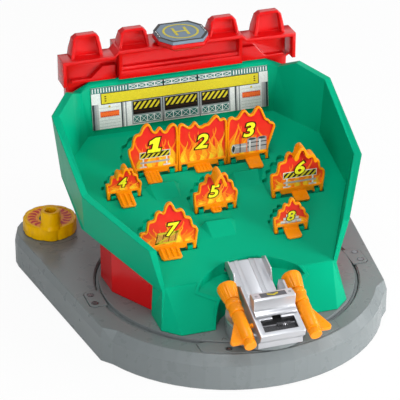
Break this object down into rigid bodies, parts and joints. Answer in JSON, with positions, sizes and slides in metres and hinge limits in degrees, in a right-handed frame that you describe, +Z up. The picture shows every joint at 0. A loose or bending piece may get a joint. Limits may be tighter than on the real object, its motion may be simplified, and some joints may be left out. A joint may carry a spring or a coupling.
{
  "type": "toy fire training center",
  "caption": "Toy fire training center: a grey base with a yellow dial turns a red tower and green tray of knock-down flames, with a swivelling ball launcher at the front.",
  "frame": {"origin": "centre of the middle foot's underside, on the table below the turntable's axis", "axes": "+Z up along the turntable's axis, -Y to the player, +X to the player's right"},
  "size_m": [0.2982, 0.2951, 0.2078],
  "materials": {
    "red_plastic": "gloss",
    "green_plastic": "gloss",
    "grey_plastic": "satin",
    "orange_plastic": "gloss",
    "yellow_plastic": "gloss",
    "silver_plastic": "pearl gloss",
    "pad_grey": "matte",
    "printed_label": "printed film",
    "white_gear_plastic": "matte",
    "steel": "plated",
    "rubber": "matte"
  },
  "bodies": {
    "base": {"base_shell": "grey_plastic", "base_cover": "grey_plastic", "foot_1": "rubber", "foot_2": "rubber", "foot_3": "rubber", "foot_4": "rubber", "foot_centre": "rubber", "clip_left": "grey_plastic", "clip_right": "grey_plastic", "clip_front": "grey_plastic", "clip_screw_1": "steel", "clip_screw_2": "steel", "clip_screw_3": "steel", "clip_screw_4": "steel", "clip_screw_5": "steel", "clip_screw_6": "steel"},
    "turntable": {"turntable": "grey_plastic", "ring_gear": "white_gear_plastic", "lower_housing": "red_plastic", "back_wall": "red_plastic", "landing_pod": "red_plastic", "landing_plate": "pad_grey", "target_tray": "green_plastic", "facade_panel": "printed_label", "pedestal": "grey_plastic", "tray_screw_left": "steel", "tray_screw_right": "steel"},
    "idler": {"idler_gear": "white_gear_plastic"},
    "dial": {"pinion": "white_gear_plastic", "dial": "yellow_plastic", "dial_screw": "steel"},
    "launcher": {"swivel_plate": "silver_plastic", "launcher_body": "silver_plastic", "chute": "silver_plastic", "return_spring": "steel", "spring_pin": "steel", "nozzle_left": "orange_plastic", "nozzle_right": "orange_plastic"},
    "slider": {"slider_block": "silver_plastic", "striker": "steel"},
    "ball": {"steel_ball": "steel"},
    "flame_1": {"flame_1": "orange_plastic"},
    "flame_2": {"flame_2": "orange_plastic"},
    "flame_3": {"flame_3": "orange_plastic"},
    "flame_4": {"flame_4": "orange_plastic"},
    "flame_5": {"flame_5": "orange_plastic"},
    "flame_6": {"flame_6": "orange_plastic"},
    "flame_7": {"flame_7": "orange_plastic"},
    "flame_8": {"flame_8": "orange_plastic"}
  },
  "joints": [
    {"name": "tower_turn", "type": "hinge", "parent": "base", "child": "turntable", "pos_m": [0, 0, 0.03], "axis": [0, 0, 1], "range_deg": [-18, 18]},
    {"name": "idler_turn", "type": "hinge", "parent": "base", "child": "idler", "pos_m": [-0.08722, 0.09231, 0.008], "axis": [0, 0, 1], "range_deg": [-67, 67]},
    {"name": "dial_turn", "type": "hinge", "parent": "base", "child": "dial", "pos_m": [-0.1195, 0.12647, 0.03], "axis": [0, 0, 1], "range_deg": [-90, 90]},
    {"name": "launcher_swivel", "type": "hinge", "parent": "turntable", "child": "launcher", "pos_m": [0, -0.095, 0.044], "axis": [0, 0, 1], "range_deg": [-12, 12]},
    {"name": "slider_pull", "type": "slide", "parent": "launcher", "child": "slider", "axis": [0, -0.9409, -0.3387], "range_m": [0, 0.012], "stiffness_N_per_m": 80, "springref_m": -0.005},
    {"name": "ball_roll", "type": "slide", "parent": "launcher", "child": "ball", "axis": [0, 0.9409, 0.3387], "range_m": [0, 0.03]},
    {"name": "flame_1_fall", "type": "hinge", "parent": "turntable", "child": "flame_1", "pos_m": [0, 0.0685, 0.10036], "axis": [1, 0, 0], "range_deg": [-73, 0]},
    {"name": "flame_2_fall", "type": "hinge", "parent": "turntable", "child": "flame_2", "pos_m": [0, 0.0685, 0.10036], "axis": [1, 0, 0], "range_deg": [-73, 0]},
    {"name": "flame_3_fall", "type": "hinge", "parent": "turntable", "child": "flame_3", "pos_m": [0, 0.0685, 0.10036], "axis": [1, 0, 0], "range_deg": [-73, 0]},
    {"name": "flame_4_fall", "type": "hinge", "parent": "turntable", "child": "flame_4", "pos_m": [0, 0.0473, 0.094], "axis": [1, 0, 0], "range_deg": [-73, 0]},
    {"name": "flame_5_fall", "type": "hinge", "parent": "turntable", "child": "flame_5", "pos_m": [0, 0.018, 0.08521], "axis": [1, 0, 0], "range_deg": [-73, 0]},
    {"name": "flame_6_fall", "type": "hinge", "parent": "turntable", "child": "flame_6", "pos_m": [0, 0.022, 0.08641], "axis": [1, 0, 0], "range_deg": [-73, 0]},
    {"name": "flame_7_fall", "type": "hinge", "parent": "turntable", "child": "flame_7", "pos_m": [0, -0.0187, 0.0742], "axis": [1, 0, 0], "range_deg": [-73, 0]},
    {"name": "flame_8_fall", "type": "hinge", "parent": "turntable", "child": "flame_8", "pos_m": [0, -0.0175, 0.07456], "axis": [1, 0, 0], "range_deg": [-73, 0]}
  ],
  "couplings": [
    {"joint": "idler_turn", "follows": "tower_turn", "ratio": -3.7037},
    {"joint": "dial_turn", "follows": "tower_turn", "ratio": 5}
  ]
}
